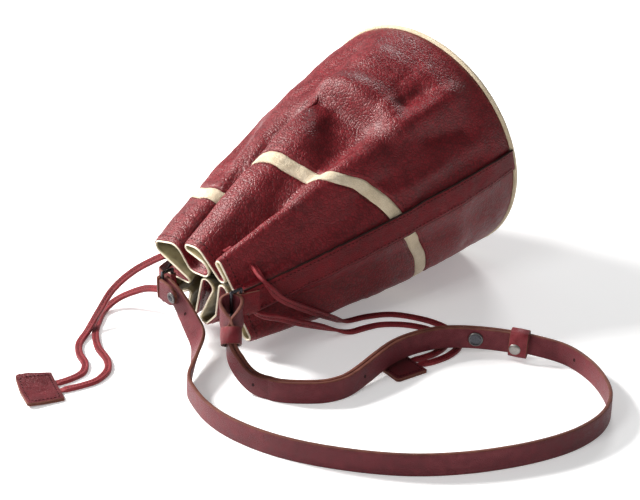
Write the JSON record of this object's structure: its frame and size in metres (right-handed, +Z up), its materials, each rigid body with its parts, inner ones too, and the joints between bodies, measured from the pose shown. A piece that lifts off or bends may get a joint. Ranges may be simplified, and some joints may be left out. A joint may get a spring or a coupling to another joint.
{
  "type": "drawstring bucket bag",
  "caption": "Leather drawstring bucket bag lying on its side with a gathered mouth, contrast stripe, shoulder strap and tabbed laces.",
  "frame": {"origin": "on the floor, straight below the centre of the round base", "axes": "+Z up from the floor, +Y from the gathered mouth towards the round base, +X across the bag towards the side with the laid-out strap"},
  "size_m": [0.4275, 0.4545, 0.2155],
  "materials": {
    "burgundy_leather": "pebbled full-grain leather, satin",
    "cream_stripe_leather": "smooth leather, satin",
    "cream_edge_leather": "smooth leather edge",
    "cream_piping": "rolled leather piping",
    "khaki_suede": "napped suede lining, matte",
    "fibre_board": "pressed fibre board, matte",
    "strip_leather": "smooth leather with raw brown edges",
    "dark_metal": "dark gunmetal plating, polished",
    "nickel": "nickel plating, polished",
    "keeper_leather": "smooth leather, satin",
    "strap_leather": "smooth leather face with painted brown edges",
    "lace_leather": "folded leather lace, stitched",
    "tab_leather": "two leathers, edge-stitched"
  },
  "bodies": {
    "bag": {"front_upper_panel": "burgundy_leather", "back_upper_panel": "burgundy_leather", "front_stripe": "cream_stripe_leather", "back_stripe": "cream_stripe_leather", "front_lower_panel": "burgundy_leather", "back_lower_panel": "burgundy_leather", "lining": "khaki_suede", "mouth_binding": "cream_edge_leather", "base_panel": "burgundy_leather", "base_board": "fibre_board", "base_lining": "khaki_suede", "base_piping": "cream_piping", "side_strip_right": "strip_leather", "side_strip_left": "strip_leather", "chape_right": "strip_leather", "chape_left": "strip_leather", "gather_lace_right": "lace_leather", "gather_lace_left": "lace_leather"},
    "ring_right": {"ring_right": "dark_metal"},
    "ring_left": {"ring_left": "dark_metal"},
    "strap_right": {"strap_right_end": "strap_leather"},
    "small_keeper": {"strap_small_keeper": "keeper_leather"},
    "strap_loop": {"strap_loop_main": "strap_leather", "strap_loop_tail": "strap_leather", "strap_snap_cap": "dark_metal", "strap_snap_stud": "dark_metal"},
    "riveted_keeper": {"strap_riveted_keeper": "keeper_leather", "keeper_rivet": "nickel"},
    "strap_left": {"strap_left_end": "strap_leather"},
    "strap_flap": {"strap_left_flap": "strap_leather", "flap_snap_cap": "dark_metal", "flap_snap_stud": "dark_metal"},
    "lace_right": {"lace_right": "lace_leather"},
    "lace_left": {"lace_left": "lace_leather"},
    "tab_right": {"tab_right_front": "tab_leather", "tab_right_back": "tab_leather"},
    "tab_left": {"tab_left_front": "tab_leather", "tab_left_back": "tab_leather"}
  },
  "joints": [
    {"name": "ring_right_swing", "type": "hinge", "parent": "bag", "child": "ring_right", "pos_m": [0.051, -0.2752, 0.057], "axis": [0, 0, 1], "range_deg": [-8, 8]},
    {"name": "strap_right_turn", "type": "hinge", "parent": "ring_right", "child": "strap_right", "pos_m": [0.051, -0.2857, 0.057], "axis": [0, 0, 1], "range_deg": [-8, 8]},
    {"name": "strap_right_bend", "type": "hinge", "parent": "strap_right", "child": "strap_loop", "pos_m": [0.103, -0.2947, 0.057], "axis": [0, 0, 1], "range_deg": [-16, 16]},
    {"name": "strap_left_bend", "type": "hinge", "parent": "strap_loop", "child": "strap_left", "pos_m": [0.018, -0.292, 0.045], "axis": [0, 0, 1], "range_deg": [-16, 16]},
    {"name": "ring_left_swing", "type": "hinge", "parent": "bag", "child": "ring_left", "pos_m": [-0.034, -0.2725, 0.045], "axis": [0, 0, 1], "range_deg": [-8, 8]},
    {"name": "flap_open", "type": "hinge", "parent": "strap_left", "child": "strap_flap", "pos_m": [-0.0334, -0.2866, 0.045], "axis": [0, 0, 1], "range_deg": [-60, 0]},
    {"name": "small_keeper_slide", "type": "slide", "parent": "strap_right", "child": "small_keeper", "axis": [0.4064, -0.3295, -0.8522], "range_m": [-0.001, 0.002]},
    {"name": "riveted_keeper_slide", "type": "slide", "parent": "strap_loop", "child": "riveted_keeper", "axis": [0.8959, 0.4405, -0.0582], "range_m": [-0.004, 0.004]},
    {"name": "lace_right_swing", "type": "hinge", "parent": "bag", "child": "lace_right", "pos_m": [0.052, -0.259, 0.06], "axis": [0, 0, 1], "range_deg": [-6, 0]},
    {"name": "lace_left_swing", "type": "hinge", "parent": "bag", "child": "lace_left", "pos_m": [-0.047, -0.256, 0.04], "axis": [0, 0, 1], "range_deg": [-15, 15]},
    {"name": "tab_right_flap", "type": "hinge", "parent": "lace_right", "child": "tab_right", "pos_m": [0.14582, -0.17578, 0.00165], "axis": [-0.9744, 0.225, 0], "range_deg": [0, 2]},
    {"name": "tab_left_flap", "type": "hinge", "parent": "lace_left", "child": "tab_left", "pos_m": [-0.02621, -0.39807, 0.00165], "axis": [-0.9659, 0.2588, 0], "range_deg": [0, 70]}
  ],
  "couplings": [
    {"joint": "strap_right_turn", "follows": "ring_right_swing", "ratio": 1},
    {"joint": "strap_right_bend", "follows": "ring_right_swing", "ratio": -2},
    {"joint": "strap_left_bend", "follows": "ring_right_swing", "ratio": 2},
    {"joint": "ring_left_swing", "follows": "ring_right_swing", "ratio": 1}
  ]
}
